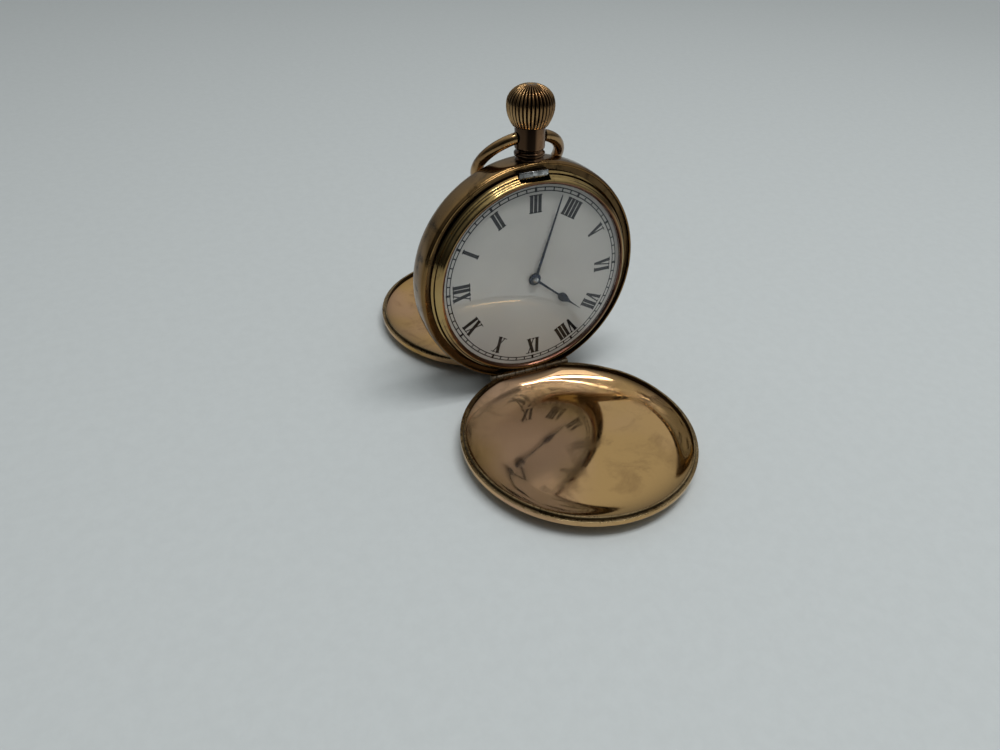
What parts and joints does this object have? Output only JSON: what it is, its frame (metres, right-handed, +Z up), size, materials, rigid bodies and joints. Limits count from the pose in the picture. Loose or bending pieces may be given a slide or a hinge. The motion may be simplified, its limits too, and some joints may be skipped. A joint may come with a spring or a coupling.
{
  "type": "pocket watch",
  "caption": "Double hunter pocket watch standing on its two open covers, crown at three, white dial with Roman numerals, movement under an inner cover.",
  "frame": {"origin": "on the floor, in the middle of the bounding box, between the two open covers", "axes": "+Z up, -Y the way the dial faces, +X towards VI on the dial"},
  "size_m": [0.05, 0.1026, 0.0658],
  "materials": {
    "gold": "worn polish",
    "rose_gold": "worn polish with tarnish",
    "glass": "clear",
    "enamel": "fired gloss",
    "steel": "polished",
    "blued_steel": "heat blued",
    "nickel": "striped",
    "ruby": "polished",
    "brass": "gilt"
  },
  "bodies": {
    "case": {"case_band": "gold", "bezel": "gold", "crystal": "glass", "dial": "enamel", "dust_cover": "gold", "front_hinge_pin": "steel", "back_hinge_pin": "steel", "pendant": "gold", "pendant_sleeve": "steel", "lock_spring": "steel", "lift_spring": "steel", "main_plate": "brass", "barrel_bridge": "nickel", "train_bridge": "nickel", "balance_cock": "nickel", "pallet_bridge": "nickel", "click_spring": "steel", "hairspring": "blued_steel", "hairspring_stud": "steel", "regulator": "steel", "jewels": "ruby", "bridge_screws": "blued_steel", "case_screws": "blued_steel", "dial_screws": "steel"},
    "front_cover": {"front_cover": "rose_gold"},
    "back_cover": {"back_cover": "rose_gold"},
    "bow": {"bow": "gold", "bow_pins": "gold"},
    "winding": {"winding_pinion": "steel"},
    "crown": {"crown": "gold", "stem": "steel"},
    "clutch": {"clutch_wheel": "steel"},
    "setting_lever": {"setting_lever": "steel"},
    "yoke": {"yoke": "steel"},
    "catch": {"lock_catch": "steel"},
    "crown_wheel": {"crown_wheel": "steel"},
    "ratchet": {"ratchet_wheel": "steel", "barrel_arbor": "steel"},
    "click": {"click": "steel"},
    "minute": {"minute_hand": "blued_steel", "cannon_pinion": "steel", "center_wheel": "brass"},
    "hour": {"hour_hand": "blued_steel", "hour_wheel": "brass"},
    "minute_wheel": {"minute_wheel": "brass"},
    "barrel": {"barrel": "brass", "barrel_cover": "brass", "mainspring": "steel"},
    "third": {"third_wheel": "brass"},
    "fourth": {"fourth_wheel": "brass"},
    "escape": {"escape_wheel": "steel"},
    "fork": {"pallet_fork": "steel"},
    "balance": {"balance_wheel": "brass"}
  },
  "joints": [
    {"name": "front_cover_hinge", "type": "hinge", "parent": "case", "child": "front_cover", "pos_m": [0, -0.00319, 0.00395], "axis": [1, 0, 0], "range_deg": [-94.48, 0]},
    {"name": "back_cover_hinge", "type": "hinge", "parent": "case", "child": "back_cover", "pos_m": [0, 0.00319, 0.00345], "axis": [-1, 0, 0], "range_deg": [-85.52, 0]},
    {"name": "bow_swing", "type": "hinge", "parent": "case", "child": "bow", "pos_m": [0, 0.00409, 0.05584], "axis": [-1, 0, 0], "range_deg": [-195.01, 0]},
    {"name": "crown_turn", "type": "hinge", "parent": "case", "child": "winding", "pos_m": [0, 0.00308, 0.04298], "axis": [0, 0.0781, 0.9969], "continuous": true},
    {"name": "crown_pull", "type": "slide", "parent": "winding", "child": "crown", "axis": [0, 0.0781, 0.9969], "range_m": [-0.00035, 0.001]},
    {"name": "clutch_shift", "type": "slide", "parent": "winding", "child": "clutch", "axis": [0, 0.0781, 0.9969], "range_m": [-0.00066, 0.00024]},
    {"name": "lever_swing", "type": "hinge", "parent": "case", "child": "setting_lever", "pos_m": [0.0046, 0.00096, 0.04545], "axis": [0, -0.9969, 0.0781], "range_deg": [-12.6, 4.5]},
    {"name": "yoke_swing", "type": "hinge", "parent": "case", "child": "yoke", "pos_m": [0.0048, 0.00052, 0.03977], "axis": [0, -0.9969, 0.0781], "range_deg": [-2.8, 7.9]},
    {"name": "catch_press", "type": "slide", "parent": "case", "child": "catch", "axis": [0, 0.0781, 0.9969], "range_m": [-0.00035, 0], "stiffness_N_per_m": 300},
    {"name": "crown_wheel_turn", "type": "hinge", "parent": "case", "child": "crown_wheel", "pos_m": [0, 0.00596, 0.04005], "axis": [0, -0.9969, 0.0781], "continuous": true},
    {"name": "ratchet_turn", "type": "hinge", "parent": "case", "child": "ratchet", "pos_m": [-0.00537, 0.00544, 0.03348], "axis": [0, -0.9969, 0.0781], "continuous": true},
    {"name": "click_swing", "type": "hinge", "parent": "case", "child": "click", "pos_m": [-0.01152, 0.00572, 0.03702], "axis": [0, -0.9969, 0.0781], "range_deg": [-10, 0], "stiffness_Nm_per_rad": 0.00002},
    {"name": "minute_turn", "type": "hinge", "parent": "case", "child": "minute", "pos_m": [0, -0.00196, 0.02733], "axis": [0, 0.9969, -0.0781], "continuous": true},
    {"name": "hour_turn", "type": "hinge", "parent": "case", "child": "hour", "pos_m": [0, -0.00196, 0.02733], "axis": [0, 0.9969, -0.0781], "continuous": true},
    {"name": "minute_wheel_turn", "type": "hinge", "parent": "case", "child": "minute_wheel", "pos_m": [0.00255, 0.00023, 0.02971], "axis": [0, 0.9969, -0.0781], "continuous": true},
    {"name": "barrel_turn", "type": "hinge", "parent": "case", "child": "barrel", "pos_m": [-0.00537, 0.00255, 0.03371], "axis": [0, 0.9969, -0.0781], "continuous": true},
    {"name": "third_turn", "type": "hinge", "parent": "case", "child": "third", "pos_m": [0.00634, 0.00185, 0.02471], "axis": [0, 0.9969, -0.0781], "continuous": true},
    {"name": "fourth_turn", "type": "hinge", "parent": "case", "child": "fourth", "pos_m": [0.00538, 0.00142, 0.01929], "axis": [0, 0.9969, -0.0781], "continuous": true},
    {"name": "escape_turn", "type": "hinge", "parent": "case", "child": "escape", "pos_m": [0.00119, 0.00123, 0.01687], "axis": [0, 0.9969, -0.0781], "continuous": true},
    {"name": "fork_swing", "type": "hinge", "parent": "case", "child": "fork", "pos_m": [-0.00211, 0.00123, 0.01687], "axis": [0, -0.9969, 0.0781], "range_deg": [-5, 5]},
    {"name": "balance_swing", "type": "hinge", "parent": "case", "child": "balance", "pos_m": [-0.00641, 0.00323, 0.01672], "axis": [0, -0.9969, 0.0781], "range_deg": [-220, 220], "stiffness_Nm_per_rad": 0.000005}
  ],
  "couplings": [
    {"joint": "bow_swing", "follows": "back_cover_hinge", "ratio": 2.2802},
    {"joint": "clutch_shift", "follows": "crown_pull", "ratio": -0.65},
    {"joint": "lever_swing", "follows": "crown_pull", "rad_per_m": -217.39},
    {"joint": "yoke_swing", "follows": "crown_pull", "rad_per_m": 135.42},
    {"joint": "crown_wheel_turn", "follows": "crown_turn", "ratio": 0.58333},
    {"joint": "ratchet_turn", "follows": "crown_turn", "ratio": -0.31818},
    {"joint": "hour_turn", "follows": "minute_turn", "ratio": 0.083333},
    {"joint": "minute_wheel_turn", "follows": "minute_turn", "ratio": -0.33333},
    {"joint": "barrel_turn", "follows": "minute_turn", "ratio": -0.16216},
    {"joint": "third_turn", "follows": "minute_turn", "ratio": -8},
    {"joint": "fourth_turn", "follows": "minute_turn", "ratio": 60},
    {"joint": "escape_turn", "follows": "minute_turn", "ratio": -600}
  ]
}
